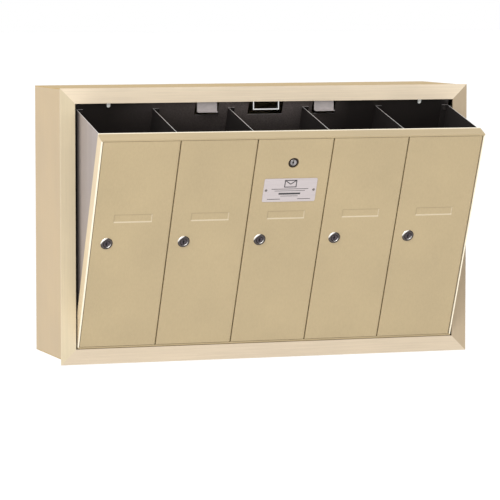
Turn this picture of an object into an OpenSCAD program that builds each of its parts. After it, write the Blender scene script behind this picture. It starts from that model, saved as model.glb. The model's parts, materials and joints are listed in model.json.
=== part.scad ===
// Wall-hung bank of five vertical mailboxes. The bank of bins hangs on a long hinge at the
// bottom of the housing and is drawn tilted forward, open for loading from above.
// Origin: centre of the four wall holes, on the back face. -Y is the front, +Z is up.

/* [Housing] */
// Width of the trim frame
trim_w = 764; // [740:1:800]
// Height of the trim frame
trim_h = 486; // [480:1:510]
// Width of the trim's face
band = 27; // [24:1:29]
// Distance from the wall to the trim's face
depth = 200; // [196:1:230]
// Thickness of the trim
trim_t = 3; // [2.5:0.5:3]
// Overhang of the trim at the sides and the bottom
lip = 7; // [5:1:9]
// Overhang of the trim at the top
lip_top = 1; // [1:1:4]
// Thickness of the housing's sheet
sheet = 1.5; // [1:0.5:2]

/* [Bank] */
// Distance from one door to the next
pitch = 139.7; // [136:0.1:140]
// Height of the bank's front frame
bank_h = 409; // [403:1:410]
// Depth of the front frame
frame_d = 27; // [24:1:29]
// Distance from the doors' face to the bins' rear wall
bin_d = 177; // [174:1:178]
// Height of the rear wall
rear_h = 400; // [397:1:401]
// Angle that the open bank leans forward
tilt = 23.5; // [20:0.5:23.5]

/* [Doors] */
// Angle that the doors stand open, 0 to 100
door_open = 0; // [0:5:100]
// Height of the tenant locks above the frame's bottom
lock_z = 209; // [183:1:233]
// Distance of a tenant lock from the seam on its left
lock_x = 27.2; // [26:0.2:28]
// Height of the master lock above the frame's bottom
master_z = 359; // [353:1:363]

/* [Wall holes] */
// Distance between the wall holes, across
wall_x = 406.4; // [300:0.1:600]
// Distance between the wall holes, up and down
wall_z = 380; // [300:5:400]
// Radius of the wall holes
wall_r = 3.5; // [2.5:0.5:5]

/* [Hidden] */
$fn = 32;
doors = 5;
tan_paint = [0.80, 0.72, 0.57];
door_paint = [0.76, 0.68, 0.54];
mill = [0.66, 0.63, 0.64];
dark_sheet = [0.24, 0.22, 0.22];
bright = [0.80, 0.80, 0.82];
nylon = [0.93, 0.92, 0.88];
front_y = -depth;
box_w = trim_w - 2*lip;
box_h = trim_h - lip - lip_top;
z_lo = -box_h/2 - lip;
z_hi = z_lo + trim_h;
sill_z = z_lo + band;              // inner edge of the bottom trim
head_z = z_hi - band;              // inner edge of the top trim
opening_w = trim_w - 2*band;
leg_d = 12;                        // leg that fastens a trim stick inside the housing
leg_t = 1.5;
// The bank's hinge: knuckles just behind the bottom stick of the trim
pin_r = 1.25;
knuckle_r = 2.5;
bank_drop = knuckle_r + 0.4;       // from the frame's bottom down to the pin
pin_back = 3.4;                    // from the doors' face back to the pin
knuckle_back = 0.4;                // from the trim's back to the knuckles
pivot_y = front_y + trim_t + knuckle_back + knuckle_r;
pivot_z = sill_z - 0.5;
knuckles = 9;
hinge_w = 5*pitch - 6;
knuckle_w = hinge_w/knuckles;
knuckle_gap = 0.6;
leaf_t = 1.2;
leaf_h = box_h/2 - sheet - leg_t + pivot_z - 0.5; // down to just above the trim's leg
// The bank's front frame
frame_w = opening_w - 6;
rail_t = 3;
stile_t = 2;
stop_y = 12.5;                     // the doors' stop lips, behind the doors
stop_t = 1.5;
stop_h = 10;
bin_t = 1.2;
bin_w = doors*pitch + 1.4;         // over the end panels
bin_y = stop_y + stop_t;
divider_drop = 27;                 // fall of a divider's top edge towards the rear
notch_z = rear_h - 32;
flange_w = 12;
flange_lo = rail_t + bin_t + 20;     // lower ends of the bins' upright flanges
rivet_in = 8;                      // from a flange's end to its rivet
// Doors
door_gap = 1;
skin_t = 2;
door_lo = rail_t + 0.8;
door_h = bank_h - 2*rail_t - 1.6;
return_d = 12;
return_t = 1.5;
barrel_r = 3.2;
door_pin_r = 1.5;
run = 0.05;                        // radial clearance of a running fit
pin_seat = 2;
card_w = 68.7;
card_h = 14.1;
card_z = 257.6;
// Locks
body_r = 9;
bezel_r = 11;
bezel_t = 1.8;
plug_r = 6;
cam_y = 15;
cam_len = 24;
key_w = 1.8;
key_h = 7;
nose_r = 8.7;
nose_y = 1.2;
case_w = 40;
case_top = 379;
case_d = 34;
case_h = 46;
bolt_y = 28;
bolt_t = 3.2;
bolt_w = 18;
bolt_tip = bank_h - 2.5;
bolt_l = 92;
bolt_travel = 14;
// Parts that hang behind the top trim
hang_top = box_h/2 - sheet - leg_t;
strike_w = 49;
strike_z = z_lo + 444;
strike_y = front_y + 9;
strike_d = 20.8;
strike_t = 2;
tab_x = 110;
tab_w = 37;
tab_z = z_lo + 440.5;
tab_y = front_y + 10;
bumper_x = 292.5;
bumper_r = 3.2;
bumper_l = 2.8;
bumper_z = rear_h - 11;
bumper_rise = 4;
rivet_r = 1.6;
rivet_head_r = 3;
floor_y = frame_d + 0.2;
// x of the seam on the left of door i, and of the pin on its right
function seam_x(i) = (i - 1 - doors/2)*pitch;
function door_pin_x(i) = seam_x(i + 1) - door_gap/2 - barrel_r;
rivet_z = [flange_lo + rivet_in, bank_h - divider_drop - rivet_in];
rivet_x = concat([-bin_w/2 + flange_w/2, bin_w/2 - flange_w/2],
    [for (i = [2:doors]) seam_x(i) - bin_t/2 + flange_w/2]);
// Label on the middle door
label_w = 98;
label_h = 45.5;
label_t = 0.8;
plate_z = 306.3;
plate_rivet_x = [for (side = [-1, 1]) seam_x(3) + pitch/2 + side*(label_w/2 - 5)];

// ---- frames of reference -------------------------------------------------------------
// The bank: y = 0 on the doors' face, z = 0 at the frame's bottom
module bank() {
    translate([0, pivot_y, pivot_z]) rotate([tilt, 0, 0])
        translate([0, -pin_back, bank_drop]) children();
}

// A door's pieces, turned about its pin
module on_door(i) {
    bank() translate([door_pin_x(i), barrel_r, 0]) rotate([0, 0, door_open])
        translate([-door_pin_x(i), -barrel_r, 0]) children();
}

// A cylinder along +Y from y0 to y1
module along_y(r, y0, y1) {
    translate([0, y0, 0]) rotate([-90, 0, 0]) cylinder(r = r, h = y1 - y0);
}

// A cylinder along +X from x0 to x1
module along_x(r, x0, x1) {
    translate([x0, 0, 0]) rotate([0, 90, 0]) cylinder(r = r, h = x1 - x0);
}

// A plate with the outline [[x, z], ...], from y0 to y1
module plate_xz(outline, y0, y1) {
    translate([0, y1, 0]) rotate([90, 0, 0]) linear_extrude(y1 - y0) polygon(outline);
}

// A plate with the outline [[y, z], ...], from x0 to x1
module plate_yz(outline, x0, x1) {
    translate([x0, 0, 0]) rotate([90, 0, 90]) linear_extrude(x1 - x0) polygon(outline);
}

module block(low, high) {
    translate(low) cube(high - low);
}

// ---- housing -------------------------------------------------------------------------
module back_panel() {
    color(tan_paint) difference() {
        block([-box_w/2 + sheet, -sheet, -box_h/2 + sheet], [box_w/2 - sheet, 0, box_h/2 - sheet]);
        for (sx = [-1, 1], sz = [-1, 1])
            translate([sx*wall_x/2, 0, sz*wall_z/2]) along_y(wall_r, -sheet - 1, 1);
    }
}

module housing_wall(low_x, high_x, low_z, high_z) {
    color(tan_paint) block([low_x, front_y + trim_t, low_z], [high_x, 0, high_z]);
}
module top_panel() {
    housing_wall(-box_w/2, box_w/2, box_h/2 - sheet, box_h/2);
}
module bottom_panel() {
    housing_wall(-box_w/2, box_w/2, -box_h/2, -box_h/2 + sheet);
}
module left_side() {
    housing_wall(-box_w/2, -box_w/2 + sheet, -box_h/2 + sheet, box_h/2 - sheet);
}
module right_side() {
    housing_wall(box_w/2 - sheet, box_w/2, -box_h/2 + sheet, box_h/2 - sheet);
}

// The mitred sticks of the trim, and the legs that fasten them inside the housing
module trim_across(z_out, z_in) {
    w = trim_w/2;
    color(tan_paint)
        plate_xz([[-w, z_out], [w, z_out], [w - band, z_in], [-w + band, z_in]],
            front_y, front_y + trim_t);
}
module trim_upright(side) {
    w = side*trim_w/2;
    x_in = side*(trim_w/2 - band);
    color(tan_paint)
        plate_xz([[w, z_lo], [w, z_hi], [x_in, head_z], [x_in, sill_z]], front_y, front_y + trim_t);
}
module trim_top() {
    trim_across(z_hi, head_z);
}
module trim_bottom() {
    trim_across(z_lo, sill_z);
}
module trim_left() {
    trim_upright(-1);
}
module trim_right() {
    trim_upright(1);
}
module trim_legs() {
    y0 = front_y + trim_t;
    w = box_w/2 - sheet - 2;
    x = box_w/2 - sheet - leg_t;
    z = box_h/2 - sheet - leg_t;
    color(tan_paint) for (side = [-1, 1]) scale([side, 1, side]) union() {
        block([-w, y0, z], [w, y0 + leg_d, z + leg_t]);
        block([x, y0, -z + 1], [x + leg_t, y0 + leg_d, z - 1]);
    }
}

// The hinge runs the width of the bank. The fixed leaf holds the odd knuckles and the moving
// leaf the even ones.
function knuckle_x(k) = -hinge_w/2 + k*knuckle_w;
module knuckle_row(first) {
    for (k = [first:2:knuckles - 1])
        along_x(knuckle_r, knuckle_x(k) + knuckle_gap/2, knuckle_x(k + 1) - knuckle_gap/2);
}
// A leaf's plate is cut back round the other leaf's knuckles
module knuckle_gaps(first) {
    for (k = [first:2:knuckles - 1])
        along_x(knuckle_r + knuckle_gap, knuckle_x(k) - knuckle_gap/2, knuckle_x(k + 1) + knuckle_gap/2);
}
module hinge_fixed_leaf() {
    color(mill) translate([0, pivot_y, pivot_z]) difference() {
        union() {
            knuckle_row(0);
            block([-hinge_w/2, -knuckle_r - knuckle_back, -leaf_h], [hinge_w/2, -knuckle_r + leaf_t, 0]);
        }
        knuckle_gaps(1);
        along_x(pin_r + run, -hinge_w, hinge_w);
    }
}
module hinge_pin() {
    color(bright) translate([0, pivot_y, pivot_z]) along_x(pin_r, -hinge_w/2, hinge_w/2);
}
module hinge_moving_leaf() {
    color(mill) bank() translate([0, pin_back, -bank_drop]) difference() {
        union() {
            knuckle_row(1);
            block([-hinge_w/2, 0, bank_drop - leaf_t], [hinge_w/2, 20, bank_drop]);
        }
        knuckle_gaps(0);
        along_x(pin_r + run, -hinge_w, hinge_w);
    }
}

// A bent strap that the master bolt hooks behind
module latch_strike() {
    w = strike_w/2;
    color(bright) difference() {
        block([-w, strike_y, strike_z], [w, strike_y + strike_d, hang_top]);
        block([-w + strike_t, strike_y - 1, strike_z + strike_t],
            [w - strike_t, strike_y + strike_d + 1, hang_top - strike_t]);
    }
}
// Two tabs with a forward lip, which keep the closed bank from being lifted
module guide_tabs() {
    color(mill) for (side = [-1, 1]) translate([side*tab_x, 0, 0]) union() {
        block([-tab_w/2, tab_y, tab_z], [tab_w/2, tab_y + sheet, hang_top]);
        block([-tab_w/2, tab_y - 6.5, tab_z], [tab_w/2, tab_y, tab_z + sheet]);
    }
}

// ---- bank: the front frame -----------------------------------------------------------
module frame_rail(z0) {
    color(door_paint) bank() difference() {
        block([-frame_w/2, 0, z0], [frame_w/2, frame_d, z0 + rail_t]);
        for (i = [1:doors]) translate([door_pin_x(i), barrel_r, rail_t - pin_seat])
            cylinder(r = door_pin_r + run, h = bank_h - 2*(rail_t - pin_seat));
    }
}
module frame_top_rail() {
    frame_rail(bank_h - rail_t);
}
module frame_bottom_rail() {
    frame_rail(0);
}
module frame_stile(side) {
    w = frame_w/2;
    color(door_paint) bank() scale([side, 1, 1])
        block([w - stile_t, 0, rail_t], [w, frame_d, bank_h - rail_t]);
}
module frame_left_stile() {
    frame_stile(-1);
}
module frame_right_stile() {
    frame_stile(1);
}
// Lips all round inside the frame, which the doors shut against
module frame_stops() {
    w = frame_w/2 - stile_t;
    side_z = rail_t + stop_h + 0.3;
    color(door_paint) bank() union() {
        for (z = [rail_t, bank_h - rail_t - stop_h]) block([-w, stop_y, z], [w, bin_y, z + stop_h]);
        for (side = [-1, 1]) scale([side, 1, 1])
            block([w - stop_h, stop_y, side_z], [w, bin_y, bank_h - side_z]);
    }
}
// Strips behind the seams: each stops one door and holds its cam
module frame_mullions() {
    stop_z = rail_t + stop_h;
    color(dark_sheet) bank() for (i = [2:doors])
        block([seam_x(i) - 4, stop_y, stop_z], [seam_x(i) + 9, bin_y, bank_h - stop_z]);
}

// ---- bank: the bins ------------------------------------------------------------------
module bin_floor() {
    color(dark_sheet) bank() union() {
        block([-bin_w/2, floor_y - 12, rail_t], [bin_w/2, bin_d, rail_t + bin_t]);
        block([-bin_w/2 + bin_t, bin_d - bin_t, rail_t + bin_t],
            [bin_w/2 - bin_t, bin_d, rail_t + bin_t + flange_w]);
    }
}
module rear_wall() {
    w = bin_w/2;
    color(dark_sheet) bank() difference() {
        block([-w, bin_d, rail_t], [w, bin_d + bin_t, rear_h]);
        for (cut = [[-tab_x, 44], [0, 65], [tab_x, 44]])
            block([cut[0] - cut[1]/2, bin_d - 1, notch_z], [cut[0] + cut[1]/2, bin_d + 2, rear_h + 1]);
        for (x = rivet_x, z = rivet_z) translate([x, 0, z]) along_y(rivet_r, bin_d - 1, bin_d + 2);
    }
}

// Outline of a divider: under the top rail in front, and falling towards the rear
module bin_side(x0, y_front, flange_x) {
    low = rail_t + bin_t;
    front_top = bank_h - 2;
    rear_top = bank_h - divider_drop;
    rear_y = bin_d - bin_t;
    color(dark_sheet) bank() difference() {
        union() {
            plate_yz([[y_front, low], [rear_y, low], [rear_y, rear_top], [floor_y, front_top],
                [floor_y, bank_h - rail_t - stop_h - 2], [y_front, bank_h - rail_t - stop_h - 2]],
                x0, x0 + bin_t);
            block([flange_x, rear_y, flange_lo], [flange_x + flange_w, bin_d, rear_top]);
        }
        for (z = rivet_z) translate([flange_x + flange_w/2, 0, z]) along_y(rivet_r, rear_y - 1, bin_d + 1);
    }
}
module left_end() {
    bin_side(-bin_w/2, bin_y, -bin_w/2);
}
module right_end() {
    bin_side(bin_w/2 - bin_t, bin_y, bin_w/2 - flange_w);
}
module dividers() {
    for (i = [2:doors]) bin_side(seam_x(i) - bin_t/2, bin_y, seam_x(i) - bin_t/2);
}
module bin_rivets() {
    head_t = 1;
    color(mill) bank() for (x = rivet_x, z = rivet_z) translate([x, 0, z]) union() {
        along_y(rivet_head_r, bin_d - bin_t - head_t, bin_d - bin_t);
        along_y(rivet_r, bin_d - bin_t, bin_d + bin_t);
        along_y(rivet_head_r, bin_d + bin_t, bin_d + bin_t + head_t);
    }
}
// White buttons on the rear wall, which meet the back of the trim when the bank is open
module stop_bumpers() {
    color(nylon) bank() for (side = [-1, 1]) translate([side*bumper_x, 0, bumper_z]) union() {
        for (rise = [0, bumper_rise]) translate([0, 0, rise]) along_y(bumper_r, bin_d - bumper_l, bin_d);
        block([-bumper_r, bin_d - bumper_l, 0], [bumper_r, bin_d, bumper_rise]);
    }
}

// ---- doors ---------------------------------------------------------------------------
module door_pins() {
    color(bright) bank() for (i = [1:doors])
        translate([door_pin_x(i), barrel_r, rail_t - pin_seat + 0.1])
            cylinder(r = door_pin_r, h = bank_h - 2*(rail_t - pin_seat) - 0.2);
}

// A flat door: a hinge barrel down its right edge, and returns round its other edges
module door(i) {
    left = seam_x(i) + door_gap/2;
    pin_x = door_pin_x(i);
    mid = seam_x(i) + pitch/2;
    lo = door_lo;
    hi = door_lo + door_h;
    right = pin_x - barrel_r - 2;
    color(door_paint) on_door(i) difference() {
        union() {
            block([left, 0, lo], [pin_x, skin_t, hi]);
            block([left, skin_t, lo], [left + return_t, return_d, hi]);
            for (z = [lo, hi - return_t])
                block([left + return_t, skin_t, z], [right, return_d, z + return_t]);
            translate([pin_x, barrel_r, lo]) cylinder(r = barrel_r, h = door_h);
        }
        translate([pin_x, barrel_r, lo - 1]) cylinder(r = door_pin_r + run, h = door_h + 2);
        translate([seam_x(i) + lock_x, 0, lock_z]) along_y(body_r + 0.1, -1, skin_t + 1);
        block([mid - card_w/2, -1, card_z - card_h/2], [mid + card_w/2, 0.6, card_z + card_h/2]);
        if (i == 3)
            translate([mid, 0, master_z]) along_y(nose_r + 1, -1, skin_t + 1);
        if (i == 3)
            for (x = plate_rivet_x) translate([x, 0, plate_z]) along_y(rivet_r, -1, skin_t + 1);
    }
}

// ---- tenant locks --------------------------------------------------------------------
module at_lock(i) {
    on_door(i) translate([seam_x(i) + lock_x, 0, lock_z]) children();
}
module lock_barrel(i) {
    color(bright) at_lock(i) difference() {
        union() {
            along_y(bezel_r, -bezel_t, 0);
            along_y(body_r, 0, cam_y - 0.4);
        }
        along_y(plug_r + run, -bezel_t - 1, cam_y);
    }
}
module lock_nut(i) {
    nut_t = 4;
    color(bright) at_lock(i) difference() {
        translate([0, skin_t, 0]) rotate([-90, 0, 0]) cylinder(r = 13, h = nut_t, $fn = 6);
        along_y(body_r, skin_t - 1, skin_t + nut_t + 1);
    }
}
module keyway(y0, deep) {
    block([-key_w/2, y0 - 1, -key_h/2], [key_w/2, y0 + deep, key_h/2]);
}
module lock_plug(i) {
    color(dark_sheet) at_lock(i) difference() {
        along_y(plug_r, -bezel_t + 0.4, cam_y);
        keyway(-bezel_t, 6);
    }
}
// The cam points up when the door is free, and swings left behind the frame to lock it
module lock_cam(i) {
    cam_t = 2;
    color(bright) at_lock(i) translate([0, cam_y, 0]) union() {
        along_y(8, 0, cam_t);
        block([-5, 0, 0], [5, cam_t, cam_len]);
        along_y(4, cam_t, cam_t + 2.5);
    }
}

// ---- master lock and label -----------------------------------------------------------
module at_master() {
    bank() translate([seam_x(3) + pitch/2, 0, master_z]) children();
}
module master_lock_case() {
    hanger = bank_h - rail_t - master_z;
    top = case_top - master_z;
    color(dark_sheet) at_master() difference() {
        union() {
            block([-case_w/2, bin_y, top - case_h], [case_w/2, case_d, top]);
            block([-case_w/2, bin_y, top], [case_w/2, bin_y + 2, hanger]);
            along_y(nose_r, nose_y, bin_y);
        }
        along_y(plug_r + run, 0, bolt_y);
        block([-bolt_w/2 - 0.3, bolt_y - 0.3, -case_h], [bolt_w/2 + 0.3, bolt_y + bolt_t + 0.3, hanger - 4]);
    }
}
module master_plug() {
    color(bright) at_master() difference() {
        along_y(plug_r, nose_y - 0.4, bolt_y + bolt_t);
        keyway(nose_y, 6);
    }
}
module master_bolt() {
    tip = bolt_tip - master_z;
    window = plug_r + 0.5;
    color(bright) at_master() difference() {
        block([-bolt_w/2, bolt_y, tip - bolt_l], [bolt_w/2, bolt_y + bolt_t, tip]);
        block([-window, bolt_y - 1, -window - bolt_travel], [window, bolt_y + bolt_t + 1, window]);
    }
}
module label_plate() {
    r = 3;
    color(mill) on_door(3) difference() {
        translate([seam_x(3) + pitch/2, 0, plate_z]) rotate([90, 0, 0]) linear_extrude(label_t) union() {
            square([label_w - 2*r, label_h], center = true);
            square([label_w, label_h - 2*r], center = true);
            for (sx = [-1, 1], sz = [-1, 1])
                translate([sx*(label_w/2 - r), sz*(label_h/2 - r)]) circle(r);
        }
        for (x = plate_rivet_x) translate([x, 0, plate_z]) along_y(rivet_r, -label_t - 1, 1);
    }
}
module plate_rivets() {
    head_t = 0.9;
    color(bright) on_door(3) for (x = plate_rivet_x) translate([x, 0, plate_z]) union() {
        along_y(rivet_head_r - 0.6, -label_t - head_t, -label_t);
        along_y(rivet_r, -label_t, skin_t);
        along_y(rivet_head_r - 0.6, skin_t, skin_t + head_t);
    }
}

back_panel();
top_panel();
bottom_panel();
left_side();
right_side();
trim_top();
trim_bottom();
trim_left();
trim_right();
trim_legs();
hinge_fixed_leaf();
hinge_pin();
latch_strike();
guide_tabs();
hinge_moving_leaf();
frame_top_rail();
frame_bottom_rail();
frame_left_stile();
frame_right_stile();
frame_stops();
frame_mullions();
bin_floor();
rear_wall();
left_end();
right_end();
dividers();
stop_bumpers();
bin_rivets();
door_pins();
master_lock_case();
master_plug();
master_bolt();
label_plate();
plate_rivets();
door(1);  // door_1
door(2);  // door_2
door(3);  // door_3
door(4);  // door_4
door(5);  // door_5
lock_barrel(1);  // lock_barrel_1
lock_barrel(2);  // lock_barrel_2
lock_barrel(3);  // lock_barrel_3
lock_barrel(4);  // lock_barrel_4
lock_barrel(5);  // lock_barrel_5
lock_nut(1);  // lock_nut_1
lock_nut(2);  // lock_nut_2
lock_nut(3);  // lock_nut_3
lock_nut(4);  // lock_nut_4
lock_nut(5);  // lock_nut_5
lock_plug(1);  // lock_plug_1
lock_plug(2);  // lock_plug_2
lock_plug(3);  // lock_plug_3
lock_plug(4);  // lock_plug_4
lock_plug(5);  // lock_plug_5
lock_cam(1);  // lock_cam_1
lock_cam(2);  // lock_cam_2
lock_cam(3);  // lock_cam_3
lock_cam(4);  // lock_cam_4
lock_cam(5);  // lock_cam_5
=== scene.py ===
"""Looks of the wall-hung five-door mailbox bank: paint, mill sheet, locks, label and light."""
import json
import math
import bmesh
import bpy
from mathutils import Matrix, Vector


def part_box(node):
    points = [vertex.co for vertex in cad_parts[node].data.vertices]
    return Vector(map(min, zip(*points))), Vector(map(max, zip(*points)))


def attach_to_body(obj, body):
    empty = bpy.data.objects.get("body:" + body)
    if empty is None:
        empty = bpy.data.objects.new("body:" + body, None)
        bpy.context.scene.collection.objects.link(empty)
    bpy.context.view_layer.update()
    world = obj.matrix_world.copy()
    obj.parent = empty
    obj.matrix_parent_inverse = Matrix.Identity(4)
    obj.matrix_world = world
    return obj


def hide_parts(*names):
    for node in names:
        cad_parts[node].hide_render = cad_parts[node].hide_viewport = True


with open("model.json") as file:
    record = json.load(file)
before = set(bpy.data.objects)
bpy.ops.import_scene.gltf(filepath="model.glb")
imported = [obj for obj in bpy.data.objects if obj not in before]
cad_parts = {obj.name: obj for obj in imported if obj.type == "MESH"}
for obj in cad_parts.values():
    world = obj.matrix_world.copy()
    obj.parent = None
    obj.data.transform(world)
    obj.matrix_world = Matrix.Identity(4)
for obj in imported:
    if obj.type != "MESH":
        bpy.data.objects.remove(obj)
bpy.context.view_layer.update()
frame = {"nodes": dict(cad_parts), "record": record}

MM = 0.001
DOORS = (1, 2, 3, 4, 5)
NODES = frame["nodes"]
X_AXIS, Z_AXIS = 0, 2                  # the axis that a paint's fine lines run along

# ---- the bank's own frame: y = 0 on the doors' face, z along the doors ----------------
JOINTS = {joint["name"]: joint for joint in frame["record"]["behaviour"]["joints"]}
OUT = Vector(JOINTS["lock_1_turn"]["axis"])         # out of the doors' face
UP = Vector(JOINTS["door_1_swing"]["axis"])         # up along the doors
ACROSS = Vector((1, 0, 0))
FORWARD = Vector((0, -1, 0))                       # away from the wall
JOINT_DEPTH = 10*MM                    # the turn joints' points lie this far behind the doors' face


def face_origin(joint):
    """The point where a turn joint's axis meets the doors' face."""
    return Vector(JOINTS[joint]["pos_m"]) + OUT*JOINT_DEPTH


def bank_matrix(origin):
    """A frame at origin whose x runs across, y into the bank and z up along it."""
    turn = Matrix((ACROSS, -OUT, UP)).transposed()
    return Matrix.Translation(origin) @ turn.to_4x4()


FIRST_LOCK = face_origin("lock_1_turn")
PITCH = face_origin("lock_2_turn").x - FIRST_LOCK.x
DOOR_FACE = FIRST_LOCK.dot(OUT)
LOCK_LINE = FIRST_LOCK.dot(UP)
RAIL_BACK = DOOR_FACE - 27*MM
REAR_TOP = LOCK_LINE + 191*MM          # top of the bins' rear wall


# ---- shader helpers -------------------------------------------------------------------
def new_material(name):
    material = bpy.data.materials.new(name)
    material.use_nodes = True
    tree = material.node_tree
    return material, tree, tree.nodes["Principled BSDF"]


def add_node(tree, kind, **settings):
    node = tree.nodes.new(kind)
    for key, value in settings.items():
        setattr(node, key, value)
    return node


def noise(tree, scale, stretch=(1, 1, 1), detail=3.0, roughness=0.5):
    """A noise in object coordinates, drawn out along an axis where stretch is small."""
    where = add_node(tree, "ShaderNodeTexCoord")
    mapping = add_node(tree, "ShaderNodeMapping")
    mapping.inputs["Scale"].default_value = stretch
    tree.links.new(where.outputs["Object"], mapping.inputs["Vector"])
    texture = add_node(tree, "ShaderNodeTexNoise")
    texture.inputs["Scale"].default_value = scale
    texture.inputs["Detail"].default_value = detail
    texture.inputs["Roughness"].default_value = roughness
    tree.links.new(mapping.outputs["Vector"], texture.inputs["Vector"])
    return texture.outputs["Fac"]


def ramp(tree, source, low, high, colour_low, colour_high):
    node = add_node(tree, "ShaderNodeValToRGB")
    node.color_ramp.elements[0].position = low
    node.color_ramp.elements[1].position = high
    node.color_ramp.elements[0].color = (*colour_low, 1)
    node.color_ramp.elements[1].color = (*colour_high, 1)
    tree.links.new(source, node.inputs["Fac"])
    return node.outputs["Color"]


def levels(tree, source, low, high):
    """source's 0..1 moved to low..high."""
    node = add_node(tree, "ShaderNodeMapRange")
    node.inputs["To Min"].default_value = low
    node.inputs["To Max"].default_value = high
    tree.links.new(source, node.inputs["Value"])
    return node.outputs["Result"]


def bump(tree, shader, sources):
    """Bumps in a chain: sources is [(height, distance in metres, strength), ...]."""
    normal = None
    for height, distance, strength in sources:
        node = add_node(tree, "ShaderNodeBump")
        node.inputs["Distance"].default_value = distance
        node.inputs["Strength"].default_value = strength
        tree.links.new(height, node.inputs["Height"])
        if normal is not None:
            tree.links.new(normal, node.inputs["Normal"])
        normal = node.outputs["Normal"]
    tree.links.new(normal, shader.inputs["Normal"])


def mix(tree, factor, colour_a, colour_b):
    """Goes from colour_a to colour_b by factor, a number or a socket."""
    node = add_node(tree, "ShaderNodeMix", data_type="RGBA")
    if isinstance(factor, float):
        node.inputs["Factor"].default_value = factor
    else:
        tree.links.new(factor, node.inputs["Factor"])
    for socket, colour in (("A", colour_a), ("B", colour_b)):
        target = [s for s in node.inputs if s.name == socket and s.type == "RGBA"][0]
        if isinstance(colour, tuple):
            target.default_value = (*colour, 1)
        else:
            tree.links.new(colour, target)
    return [s for s in node.outputs if s.type == "RGBA"][0]


def fade(tree, value, low, high, clamp=True):
    """0 to 1 as value goes from low to high."""
    node = add_node(tree, "ShaderNodeMapRange", clamp=clamp)
    node.inputs["From Min"].default_value = low
    node.inputs["From Max"].default_value = high
    tree.links.new(value, node.inputs["Value"])
    return node.outputs["Result"]


def along(tree, quantity, direction, low, high):
    """0 to 1 as a texture coordinate's size along direction goes from low to high."""
    where = add_node(tree, "ShaderNodeTexCoord")
    dot = add_node(tree, "ShaderNodeVectorMath", operation="DOT_PRODUCT")
    dot.inputs[1].default_value = direction
    tree.links.new(where.outputs[quantity], dot.inputs[0])
    return fade(tree, dot.outputs["Value"], low, high)


def facing(tree, direction, low=0.4, high=0.6):
    """1 where the surface faces direction, and 0 where it doesn't."""
    return along(tree, "Normal", direction, low, high)


def within(tree, direction, low, high):
    """0 to 1 as a point in object coordinates goes from low to high metres along direction."""
    return along(tree, "Object", direction, low, high)


def multiply(tree, first, second):
    """second is a number or a socket."""
    node = add_node(tree, "ShaderNodeMath", operation="MULTIPLY")
    tree.links.new(first, node.inputs[0])
    if isinstance(second, float):
        node.inputs[1].default_value = second
    else:
        tree.links.new(second, node.inputs[1])
    return node.outputs["Value"]


def card_strip(tree, x_span, z_span, strength):
    """A soft strip on every door. Spans are in millimetres right of and above its lock."""
    soft = 0.5*MM
    where = add_node(tree, "ShaderNodeTexCoord")
    parts = add_node(tree, "ShaderNodeSeparateXYZ")
    tree.links.new(where.outputs["Object"], parts.inputs["Vector"])
    doors = fade(tree, parts.outputs["X"], FIRST_LOCK.x, FIRST_LOCK.x + PITCH, clamp=False)
    part = add_node(tree, "ShaderNodeMath", operation="FRACT")
    tree.links.new(doors, part.inputs[0])
    x0, x1 = (v*MM/PITCH for v in x_span)
    z0, z1 = (LOCK_LINE + v*MM for v in z_span)
    soft_x = soft/PITCH
    sides = [fade(tree, part.outputs["Value"], x0 - soft_x, x0 + soft_x),
             fade(tree, part.outputs["Value"], x1 + soft_x, x1 - soft_x),
             within(tree, UP, z0 - soft, z0 + soft),
             within(tree, UP, z1 + soft, z1 - soft)]
    mask = sides[0]
    for side in sides[1:]:
        mask = multiply(tree, mask, side)
    return multiply(tree, mask, strength)


# ---- materials ------------------------------------------------------------------------
# A pale sand, used as a painted highlight on edges that face the light
PAINTED_HIGHLIGHT = (0.86, 0.78, 0.62)
# The bins' sheet painted near black inside, as painted shade
INSIDE_SHADE = (0.034, 0.029, 0.028)
# Bare cut metal on edges that face up, with a painted highlight
LIT_CUT_EDGE = (0.62, 0.60, 0.59)
MILL = (0.353, 0.305, 0.290)
# Where the painted reflection pales the rear wall: across the middle bins and near the top
REFLECTION_SPANS = [(ACROSS, -0.29, -0.05), (-ACROSS, -0.16, -0.05), (UP, REAR_TOP - 90*MM, REAR_TOP - 10*MM)]
TRIM_SHADOW = (FORWARD, 0.203, 0.222)        # painted shadow of the trim on the end panels: dark behind the trim, none in front


def paint(name, colour, line_axis, line_strength, rough=0.5, edge=None, strips=()):
    """Powder coat: a faint mottle, fine orange peel, and lines that run along an axis.
    edge is (direction, low, high): a painted highlight from low to high metres.
    strips are (x_span, z_span, strength, tone): soft strips on the doors."""
    material, tree, shader = new_material(name)
    dark = tuple(0.93*c for c in colour)
    light = tuple(min(1, 1.05*c) for c in colour)
    mottle = noise(tree, 9, detail=4)
    fine = noise(tree, 900, detail=2)
    across = tuple(0.02 if axis == line_axis else 1 for axis in range(3))
    lines = noise(tree, 420, stretch=across, detail=3, roughness=0.65)
    base = ramp(tree, mottle, 0.3, 0.7, dark, light)
    lined = ramp(tree, lines, 0.36, 0.64, tuple(0.88*c for c in colour), light)
    painted = mix(tree, line_strength, base, lined)
    if edge:
        painted = mix(tree, within(tree, *edge), painted, PAINTED_HIGHLIGHT)
    for x_span, z_span, strength, tone in strips:
        painted = mix(tree, card_strip(tree, x_span, z_span, strength), painted, tone)
    tree.links.new(painted, shader.inputs["Base Color"])
    tree.links.new(levels(tree, mottle, rough - 0.06, rough + 0.08), shader.inputs["Roughness"])
    bump(tree, shader, [(fine, 0.00012, 0.35), (lines, 0.00015, 0.25 + 0.5*line_strength)])
    shader.inputs["Specular IOR Level"].default_value = 0.45
    return material


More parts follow.
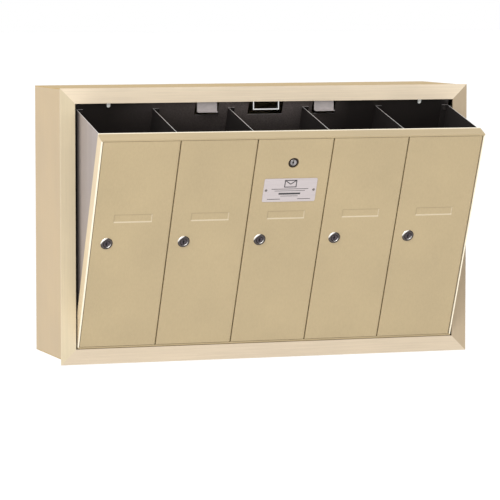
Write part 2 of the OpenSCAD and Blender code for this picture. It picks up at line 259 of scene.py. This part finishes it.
def sheet(name, inside, rough=0.42, painted_reflection=False):
    """Sheet aluminium painted dark as painted shade, bright on the cut edges that face up with a
    painted highlight. The painted reflection is a paler stretch across the middle bins, strongest near
    the top."""
    material, tree, shader = new_material(name)
    grain = noise(tree, 160, stretch=(1, 1, 0.03), detail=3)
    smudge = noise(tree, 14, detail=4)
    face = ramp(tree, smudge, 0.3, 0.75, tuple(0.7*c for c in inside), inside)
    # painted reflection on the rear wall: a paler speckled stretch
    if painted_reflection:
        speckle = noise(tree, 420, detail=2, roughness=0.7)
        pale = ramp(tree, speckle, 0.3, 0.7, tuple(5.5*c for c in inside), tuple(9.5*c for c in inside))
        for span in REFLECTION_SPANS:
            pale = mix(tree, within(tree, *span), inside, pale)
        face = mix(tree, levels(tree, smudge, 0.75, 1.0), face, pale)
    edge = ramp(tree, grain, 0.3, 0.7, tuple(0.85*c for c in LIT_CUT_EDGE), LIT_CUT_EDGE)
    tree.links.new(mix(tree, facing(tree, UP, 0.8, 0.9), face, edge), shader.inputs["Base Color"])
    tree.links.new(levels(tree, smudge, rough - 0.05, rough + 0.15), shader.inputs["Roughness"])
    bump(tree, shader, [(grain, 0.00006, 0.5)])
    shader.inputs["Metallic"].default_value = 0.55
    return material


def metal(name, colour, rough, scale=60.0, stretch=(1, 1, 1), wear=0.12, metallic=1.0):
    """Plated or brushed metal with a faint cloudy variation."""
    material, tree, shader = new_material(name)
    cloud = noise(tree, scale, stretch=stretch, detail=4)
    base = ramp(tree, cloud, 0.3, 0.7, tuple((1 - wear)*c for c in colour), colour)
    tree.links.new(base, shader.inputs["Base Color"])
    tree.links.new(levels(tree, cloud, max(0.02, rough - 0.05), rough + 0.08), shader.inputs["Roughness"])
    bump(tree, shader, [(cloud, 0.00004, 0.4)])
    shader.inputs["Metallic"].default_value = metallic
    return material


def ring_chrome(name, dark, bright):
    """Polished rings with a painted highlight at their upper left, and dark elsewhere as a painted dark
    reflection.
    """
    material, tree, shader = new_material(name)
    cloud = noise(tree, 300, detail=3)
    base = ramp(tree, cloud, 0.3, 0.7, tuple(0.7*c for c in dark), dark)
    lit = facing(tree, (UP - ACROSS).normalized(), 0.48, 0.64)
    tree.links.new(mix(tree, lit, base, bright), shader.inputs["Base Color"])
    tree.links.new(levels(tree, cloud, 0.18, 0.32), shader.inputs["Roughness"])
    bump(tree, shader, [(cloud, 0.00003, 0.4)])
    shader.inputs["Metallic"].default_value = 0.45
    return material


def plastic(name, colour, rough):
    """Smooth plastic or ink with a very fine grain."""
    material, tree, shader = new_material(name)
    fine = noise(tree, 700, detail=2)
    base = ramp(tree, fine, 0.3, 0.7, tuple(0.95*c for c in colour), colour)
    tree.links.new(base, shader.inputs["Base Color"])
    tree.links.new(levels(tree, fine, rough - 0.05, rough + 0.05), shader.inputs["Roughness"])
    bump(tree, shader, [(fine, 0.00005, 0.4)])
    shader.inputs["Subsurface Weight"].default_value = 0.05
    return material


# One sand powder coat, in lighter and darker copies per part: painted light and shade for how each part
# faces the lamps
SAND_TOP = (0.720, 0.605, 0.450)
SAND_BOTTOM = (0.560, 0.462, 0.338)
SAND_LEFT = (0.578, 0.488, 0.333)
SAND_RIGHT = (0.398, 0.312, 0.208)
SAND_SIDE = (0.460, 0.346, 0.203)
SAND_LID = (0.425, 0.285, 0.095)
SAND_DOOR = (0.428, 0.334, 0.192)
SAND_STILE = (0.620, 0.500, 0.330)
top_trim_paint = paint("trim_paint_top", SAND_TOP, X_AXIS, 0.55)
bottom_trim_paint = paint("trim_paint_bottom", SAND_BOTTOM, X_AXIS, 0.55)
left_trim_paint = paint("trim_paint_left", SAND_LEFT, Z_AXIS, 0.35)
right_trim_paint = paint("trim_paint_right", SAND_RIGHT, Z_AXIS, 0.35)
side_paint = paint("housing_paint", SAND_SIDE, Z_AXIS, 0.2)
top_paint = paint("housing_top_paint", SAND_LID, X_AXIS, 0.35)
SHADED = (0.25, 0.19, 0.105)
# The edges of the sunk card panel: shaded along the top and left, lit along the foot and right
CARD_EDGES = [((8.3, 77.0), (54.7, 56.2), 0.45, SHADED), ((7.6, 9.2), (41.6, 55.6), 0.45, SHADED),
              ((8.3, 77.0), (40.2, 42.4), 0.42, PAINTED_HIGHLIGHT), ((75.2, 77.0), (41.6, 55.6), 0.25, PAINTED_HIGHLIGHT)]
# Painted highlights: at the front of the stiles and mullions, and at the rails' rear edge
STILE_EDGE = (OUT, DOOR_FACE - 5*MM, DOOR_FACE - 2*MM)
RAIL_EDGE = (OUT, RAIL_BACK + 4*MM, RAIL_BACK + 2*MM)
door_paint = paint("door_paint", SAND_DOOR, Z_AXIS, 0.3, rough=0.55, strips=CARD_EDGES)
plain_paint = paint("inner_paint", SAND_DOOR, Z_AXIS, 0.3, rough=0.55)
stile_paint = paint("stile_paint", SAND_STILE, Z_AXIS, 0.3, edge=STILE_EDGE)
rail_paint = paint("rail_paint", SAND_DOOR, X_AXIS, 0.4, edge=RAIL_EDGE)
# The bins' dividers, rear wall and floor are painted near black as painted shade
dark_sheet = sheet("bin_sheet", INSIDE_SHADE)
rear_sheet = sheet("bin_sheet_rear", INSIDE_SHADE, rough=0.36, painted_reflection=True)
floor_sheet = metal("bin_sheet_floor", INSIDE_SHADE, 0.42, scale=30, metallic=0.5)
zinc = metal("zinc_plate", (0.74, 0.71, 0.71), 0.36, scale=35)
tab_steel = metal("tab_steel", (0.50, 0.455, 0.445), 0.42, scale=90, wear=0.2, metallic=0.7)
bright_steel = metal("bright_steel", (0.86, 0.85, 0.84), 0.22, scale=50)
chrome = ring_chrome("chrome", (0.070, 0.058, 0.055), (0.84, 0.81, 0.77))
plug_chrome = metal("master_plug_chrome", (0.34, 0.32, 0.32), 0.2, scale=120, stretch=(1, 0.2, 1),
                    wear=0.5)
# Painted shade: the master lock's nose is near black for the dark gap around its plug
nose_shade = metal("master_nose_shade", (0.045, 0.035, 0.028), 0.3, scale=80)
rivet_steel = metal("label_rivet_steel", (0.20, 0.18, 0.17), 0.3)
lock_steel = metal("lock_plug_steel", (0.085, 0.072, 0.080), 0.30, scale=220, stretch=(1, 0.1, 1))
# Near-black paint for the keyways: painted shade
keyway_shade = metal("keyway_dark", (0.012, 0.011, 0.011), 0.6, scale=90, metallic=0.2)
plate_metal = metal("label_plate", (0.53, 0.475, 0.475), 0.42, scale=500, stretch=(0.04, 1, 1),
                    wear=0.08, metallic=0.35)
ink = plastic("label_ink", (0.035, 0.032, 0.035), 0.5)
nylon = plastic("white_nylon", (0.97, 0.96, 0.93), 0.4)


def end_sheet(name, outer_side):
    """An end panel: painted dark inside the bin as painted shade, and mill aluminium on the side that
    faces out.
    """
    material, tree, shader = new_material(name)
    grain = noise(tree, 60, stretch=(1, 1, 0.05), detail=3)
    smudge = noise(tree, 14, detail=4)
    face = ramp(tree, smudge, 0.3, 0.75, tuple(0.8*c for c in INSIDE_SHADE), INSIDE_SHADE)
    # up-facing cut edges: bare metal with a painted highlight
    inner = mix(tree, facing(tree, UP, 0.8, 0.9), face, LIT_CUT_EDGE)
    unshadowed = ramp(tree, grain, 0.3, 0.7, tuple(0.92*c for c in MILL), MILL)
    # painted shadow of the trim: the outer side darkens to the rear
    shadowed = tuple(0.30*c for c in MILL)
    mill = mix(tree, within(tree, *TRIM_SHADOW), shadowed, unshadowed)
    outward = facing(tree, ACROSS*outer_side, 0.5, 0.9)
    tree.links.new(mix(tree, outward, inner, mill), shader.inputs["Base Color"])
    tree.links.new(levels(tree, smudge, 0.38, 0.55), shader.inputs["Roughness"])
    bump(tree, shader, [(grain, 0.00006, 0.5)])
    shader.inputs["Metallic"].default_value = 0.3
    return material


left_sheet = end_sheet("bin_sheet_left", -1)
right_sheet = end_sheet("bin_sheet_right", 1)


def coat(material, *nodes):
    """Gives CAD nodes a material."""
    for name in nodes:
        mesh = NODES[name].data
        if not mesh.materials:
            mesh.materials.append(material)
        for k in range(len(NODES[name].material_slots)):
            NODES[name].material_slots[k].material = material


def round_edges(width, *nodes, segments=2):
    """Breaks the sharp edges of CAD nodes."""
    for name in nodes:
        modifier = NODES[name].modifiers.new("edges", "BEVEL")
        modifier.width = width
        modifier.segments = segments
        modifier.limit_method = "ANGLE"
        modifier.angle_limit = math.radians(50)
        modifier.use_clamp_overlap = True


def each(base, numbers=DOORS):
    return [f"{base}_{i}" for i in numbers]


coat(top_trim_paint, "trim_top")
coat(bottom_trim_paint, "trim_bottom")
coat(left_trim_paint, "trim_left")
coat(right_trim_paint, "trim_right")
coat(side_paint, "left_side", "right_side", "back_panel")
coat(top_paint, "top_panel", "bottom_panel")
coat(rail_paint, "frame_top_rail", "frame_bottom_rail")
coat(door_paint, *each("door"))
coat(stile_paint, "frame_left_stile", "frame_right_stile", "frame_mullions")
coat(plain_paint, "frame_stops", "hinge_fixed_leaf", "hinge_moving_leaf", "trim_legs")
coat(dark_sheet, "dividers")
coat(rear_sheet, "rear_wall")
coat(floor_sheet, "bin_floor")
coat(left_sheet, "left_end")
coat(right_sheet, "right_end")
coat(tab_steel, "guide_tabs")
coat(zinc, "master_lock_case", "hinge_pin", "door_pins", *each("lock_nut"), *each("lock_cam"))
coat(bright_steel, "latch_strike", "master_bolt")
round_edges(0.9*MM, "trim_top", "trim_bottom", "trim_left", "trim_right", segments=3)
round_edges(0.45*MM, *each("door"))
round_edges(0.9*MM, "frame_top_rail", "frame_bottom_rail", "frame_left_stile", "frame_right_stile",
            segments=3)
round_edges(0.3*MM, "guide_tabs", "latch_strike", "master_lock_case", "master_bolt", *each("lock_nut"),
            *each("lock_cam"), "left_side", "right_side", "top_panel", "bottom_panel")

# ---- mesh helpers ---------------------------------------------------------------------
def finish_mesh(mesh_data, name, material, smooth_angle=35):
    """Turns a bmesh into a shown object with flat faces and smooth round ones."""
    bmesh.ops.remove_doubles(mesh_data, verts=mesh_data.verts, dist=1e-7)
    bmesh.ops.recalc_face_normals(mesh_data, faces=mesh_data.faces)
    for face in mesh_data.faces:
        face.smooth = True
    for edge in mesh_data.edges:
        edge.smooth = len(edge.link_faces) == 2 and edge.calc_face_angle(0) < math.radians(smooth_angle)
    mesh = bpy.data.meshes.new(name)
    mesh_data.to_mesh(mesh)
    mesh_data.free()
    mesh.materials.append(material)
    obj = bpy.data.objects.new(name, mesh)
    bpy.context.scene.collection.objects.link(obj)
    return obj


def add_lathe(mesh_data, profile, place, segments=64):
    """Turns a closed profile [(radius, y), ...] in millimetres about the y axis of place."""
    rings = []
    for turn in range(segments):
        angle = 2*math.pi*turn/segments
        points = [Vector((r*math.cos(angle), y, r*math.sin(angle)))*MM for r, y in profile]
        rings.append([mesh_data.verts.new(place @ point) for point in points])
    count = len(profile)
    for turn in range(segments):
        here, there = rings[turn], rings[(turn + 1) % segments]
        for k in range(count):
            corners = [here[k], here[(k + 1) % count], there[(k + 1) % count], there[k]]
            mesh_data.faces.new(corners)


def add_prism(mesh_data, outline, y0, y1, place):
    """An outline [(x, z), ...] in millimetres, drawn out from y0 to y1."""
    near = [mesh_data.verts.new(place @ (Vector((x, y0, z))*MM)) for x, z in outline]
    far = [mesh_data.verts.new(place @ (Vector((x, y1, z))*MM)) for x, z in outline]
    mesh_data.faces.new(near)
    mesh_data.faces.new(far[::-1])
    for k in range(len(outline)):
        after = (k + 1) % len(outline)
        mesh_data.faces.new([near[after], near[k], far[k], far[after]])


def arc(cx, cz, radius, start, end, steps=8):
    """Points on an arc, with angles in degrees."""
    turns = [math.radians(start + (end - start)*k/steps) for k in range(steps + 1)]
    return [(cx + radius*math.cos(t), cz + radius*math.sin(t)) for t in turns]


def rounded_outline(width, height, radius):
    """A rectangle about the origin with round corners."""
    w, h = width/2 - radius, height/2 - radius
    points = []
    for sx, sz, start in ((1, 1, 0), (-1, 1, 90), (-1, -1, 180), (1, -1, 270)):
        points += arc(sx*w, sz*h, radius, start, start + 90)
    return points


def bar_outline(x0, z0, x1, z1, thick):
    """A straight bar of a thickness between two points."""
    reach = Vector((x1 - x0, z1 - z0)).normalized()*thick/2
    corners = [(x0, z0, -1), (x1, z1, -1), (x1, z1, 1), (x0, z0, 1)]
    return [(x - reach.y*side, z + reach.x*side) for x, z, side in corners]


def cut(obj, cutter):
    """Takes cutter's closed shape out of obj for good."""
    modifier = obj.modifiers.new("cut", "BOOLEAN")
    modifier.object = cutter
    modifier.operation = "DIFFERENCE"
    modifier.solver = "EXACT"
    graph = bpy.context.evaluated_depsgraph_get()
    result = bpy.data.meshes.new_from_object(obj.evaluated_get(graph))
    obj.modifiers.clear()
    obj.data = result
    bpy.data.objects.remove(cutter)


def bevel(obj, width, segments=2):
    modifier = obj.modifiers.new("edges", "BEVEL")
    modifier.width = width*MM
    modifier.segments = segments
    modifier.limit_method = "ANGLE"
    modifier.angle_limit = math.radians(50)


def attach(obj, body, material_slot, *replaced):
    """Rides obj on a body, in the place of any CAD nodes named; material_slot is not used."""
    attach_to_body(obj, body)
    if replaced:
        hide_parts(*replaced)
    return obj


# ---- locks ----------------------------------------------------------------------------
# The bezel's profile, as (radius, y) in millimetres
BEZEL = [(6.2, -1.0), (6.6, -1.7), (7.2, -2.2), (7.9, -2.4), (8.6, -2.25), (9.4, -1.75), (10.2, -1.05),
         (10.8, -0.35), (11.0, 0.0), (9.0, 0.0)]
THREAD_PITCH = 1.25
BARREL_END = 14.6


def thread_profile(start, end, radius, depth):
    """A row of ridges down a barrel's outside."""
    points = []
    y = start
    while y + THREAD_PITCH < end:
        points += [(radius, y + 0.15), (radius - depth, y + 0.5*THREAD_PITCH)]
        y += THREAD_PITCH
    return points + [(radius - depth, end)]


def keyway_outline(width=1.7, height=7.4, bulge=1.5):
    """A key slot with a round swelling at its lower part."""
    low, high, centre = -height/2, height/2, -0.6
    half = math.degrees(math.asin(width/2/bulge))
    right = arc(0, centre, bulge, -90 + half, 90 - half)
    left = arc(0, centre, bulge, 90 + half, 270 - half)
    return [(width/2, low)] + right + [(width/2, high), (-width/2, high)] + left + [(-width/2, low)]


def make_barrel(i):
    data = bmesh.new()
    profile = BEZEL + thread_profile(0.4, BARREL_END, 9.0, 0.45) + [(6.2, BARREL_END)]
    add_lathe(data, profile, bank_matrix(face_origin(f"lock_{i}_turn")))
    barrel = finish_mesh(data, f"lock_{i}_barrel_turned", chrome)
    attach(barrel, f"door_{i}", "chrome", f"lock_barrel_{i}")


def make_plug(name, joint, front, back, material, body, node, material_slot):
    """A lock plug with a dished face and a cut keyway, its rim at front; a near-black block down the
    keyway is painted shade.
    """
    place = bank_matrix(face_origin(joint))
    data = bmesh.new()
    rim = 5.9
    add_lathe(data, [(0.001, front + 0.9), (3.4, front + 0.8), (4.6, front + 0.25), (5.2, front),
                     (5.6, front + 0.05), (rim, front + 0.4), (rim, back), (0.001, back)], place)
    plug = finish_mesh(data, name, material)
    hole = bmesh.new()
    add_prism(hole, keyway_outline(), front - 1, front + 6, place)
    cut(plug, finish_mesh(hole, name + "_cutter", keyway_shade))
    attach(plug, body, material_slot, node)
    # Painted shade: a near-black block down the keyway
    floor = bmesh.new()
    add_prism(floor, keyway_outline(1.5, 7.2, 1.4), front + 2.2, front + 5.8, place)
    attach(finish_mesh(floor, name + "_keyway_floor_shade", keyway_shade), body, material_slot)


for number in DOORS:
    make_barrel(number)
    make_plug(f"lock_{number}_plug_dished", f"lock_{number}_turn", -1.6, 14.9, lock_steel,
              f"lock_{number}", f"lock_plug_{number}", "lock_face")
make_plug("master_plug_dished", "master_turn", 0.7, 31.1, plug_chrome,
          "master_plug", "master_plug", "chrome")
coat(nose_shade, "master_lock_case")

# ---- label on the middle door ---------------------------------------------------------
label_low, label_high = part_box("label_plate")
label_middle = (Vector(label_low) + Vector(label_high))/2
DOOR_3 = face_origin("master_turn")
label_up = (label_middle - DOOR_3).dot(UP)
label_place = bank_matrix(DOOR_3 + UP*label_up)
LABEL_W, LABEL_H, LABEL_T = 98.0, 45.5, 0.8
RIVET_X = LABEL_W/2 - 5
INK_Y = -LABEL_T - 0.06


def make_label():
    data = bmesh.new()
    add_prism(data, rounded_outline(LABEL_W, LABEL_H, 3), -LABEL_T, -0.02, label_place)
    plate = finish_mesh(data, "label_plate_rounded", plate_metal)
    bevel(plate, 0.25)
    attach(plate, "door_3", "label", "label_plate")


def make_label_print():
    """An envelope and plain rules: no lettering."""
    data = bmesh.new()
    wide, high, line, lift = 21.0, 13.0, 1.7, 12.5
    x, top, low = wide/2, lift + high/2, lift - high/2
    strokes = [(-x, top, x, top), (-x, low, x, low), (-x, low - line/2, -x, top + line/2),
               (x, low - line/2, x, top + line/2), (-x, top, 0, lift - 1), (0, lift - 1, x, top)]
    rules = [(-34, 2.2, 34, 2.2, 1.1), (-28, -1.4, 28, -1.4, 0.9), (-20, -7, 20, -7, 3.4),
             (-16, -11.6, 16, -11.6, 0.9), (-40, -17.5, -16, -17.5, 1.1), (16, -17.5, 40, -17.5, 1.1)]
    for stroke in strokes:
        add_prism(data, bar_outline(*stroke, line), INK_Y, INK_Y + 0.04, label_place)
    for x0, z0, x1, z1, thick in rules:
        add_prism(data, bar_outline(x0, z0, x1, z1, thick), INK_Y, INK_Y + 0.04, label_place)
    attach(finish_mesh(data, "label_print", ink), "door_3", "label")


def make_label_rivets():
    data = bmesh.new()
    for side in (-1, 1):
        place = label_place @ Matrix.Translation(Vector((side*RIVET_X*MM, 0, 0)))
        dome = [(2.4*math.cos(t), -LABEL_T - 0.9*math.sin(t)) for t in (0, 0.35, 0.7, 1.05, 1.4)]
        add_lathe(data, [(0.001, -LABEL_T - 0.95)] + dome[::-1] + [(1.55, -LABEL_T + 0.1), (1.55, 2.1),
                  (2.4, 2.1), (2.2, 2.7), (0.001, 2.9)], place, segments=32)
    attach(finish_mesh(data, "label_rivets_domed", rivet_steel), "door_3", "label", "plate_rivets")


make_label()
make_label_print()
make_label_rivets()

# ---- stop buttons and rivets on the bins ----------------------------------------------
def make_bumpers():
    """Two upright nylon buttons with softened fronts."""
    low, high = (Vector(corner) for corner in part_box("stop_bumpers"))
    radius, length, rise = 3.2, 2.8, 4.0
    middle = (low + high)/2
    outline = arc(0, rise/2, radius, 0, 180, 16) + arc(0, -rise/2, radius, 180, 360, 16)
    data = bmesh.new()
    for side in (-1, 1):
        place = bank_matrix(Vector((side*((high.x - low.x)/2 - radius*MM), middle.y, middle.z)))
        add_prism(data, outline, -length/2, length/2 - 0.02, place)
    buttons = finish_mesh(data, "stop_buttons_soft", nylon)
    bevel(buttons, 0.7, segments=3)
    attach(buttons, "bank", "nylon", "stop_bumpers")


make_bumpers()
coat(bright_steel, "bin_rivets")
round_edges(0.45*MM, "bin_rivets", segments=3)

# ---- floor, light and camera ----------------------------------------------------------
def make_floor():
    bpy.ops.mesh.primitive_plane_add(size=160, location=(0, 0, -1.1))
    floor = bpy.context.object
    floor.name = "floor"
    material, tree, shader = new_material("floor_pale")
    tone = noise(tree, 0.5, detail=2)
    pale = ramp(tree, tone, 0.3, 0.7, (0.955, 0.955, 0.955), (0.975, 0.975, 0.975))
    tree.links.new(pale, shader.inputs["Base Color"])
    shader.inputs["Roughness"].default_value = 0.9
    floor.data.materials.append(material)


def area_light(name, place, aim, size, power, colour=(1, 1, 1)):
    data = bpy.data.lights.new(name, "AREA")
    data.shape = "SQUARE"
    data.size = size
    data.energy = power
    data.color = colour
    lamp = bpy.data.objects.new(name, data)
    lamp.location = place
    lamp.rotation_euler = (Vector(aim) - Vector(place)).to_track_quat("-Z", "Y").to_euler()
    bpy.context.scene.collection.objects.link(lamp)


def make_world(dim, bright, backdrop):
    """A room that is bright up to the left, dim to the right, and even behind the object."""
    world = bpy.data.worlds.new("studio")
    world.use_nodes = True
    tree = world.node_tree
    glow = along(tree, "Generated", Vector((-0.70, -0.30, 0.65)), -0.7, 0.9)
    front = levels(tree, glow, dim, bright)
    behind = along(tree, "Generated", Vector((0, 1, 0)), 0.0, 0.35)
    blend = add_node(tree, "ShaderNodeMix", data_type="FLOAT")
    tree.links.new(behind, blend.inputs["Factor"])
    values = [s for s in blend.inputs if s.type == "VALUE" and s.name in ("A", "B")]
    tree.links.new(front, values[0])
    values[1].default_value = backdrop
    result = [s for s in blend.outputs if s.type == "VALUE"][0]
    tree.links.new(result, tree.nodes["Background"].inputs["Strength"])
    tree.nodes["Background"].inputs["Color"].default_value = (1, 1, 1, 1)
    bpy.context.scene.world = world


make_floor()
make_world(0.10, 1.50, 1.0)
area_light("key", (-2.1, -2.4, 2.0), (0, -0.2, 0), 1.3, 46, (1.0, 0.99, 0.97))
area_light("fill", (2.6, -3.2, 0.6), (0, -0.2, 0), 1.2, 8)
bpy.context.scene.view_settings.view_transform = "Standard"

YAW, PITCH = math.radians(-18.39), math.radians(-4.85)
camera_data = bpy.data.cameras.new("camera")
camera_data.lens = 231
camera_data.sensor_width = 36
camera_data.clip_end = 300
camera = bpy.data.objects.new("camera", camera_data)
camera.location = (-1.8332, -5.6144, 0.4324)
sight = Vector((-math.sin(YAW)*math.cos(PITCH), math.cos(YAW)*math.cos(PITCH), math.sin(PITCH)))
camera.rotation_euler = sight.to_track_quat("-Z", "Y").to_euler()
bpy.context.scene.collection.objects.link(camera)
bpy.context.scene.camera = camera
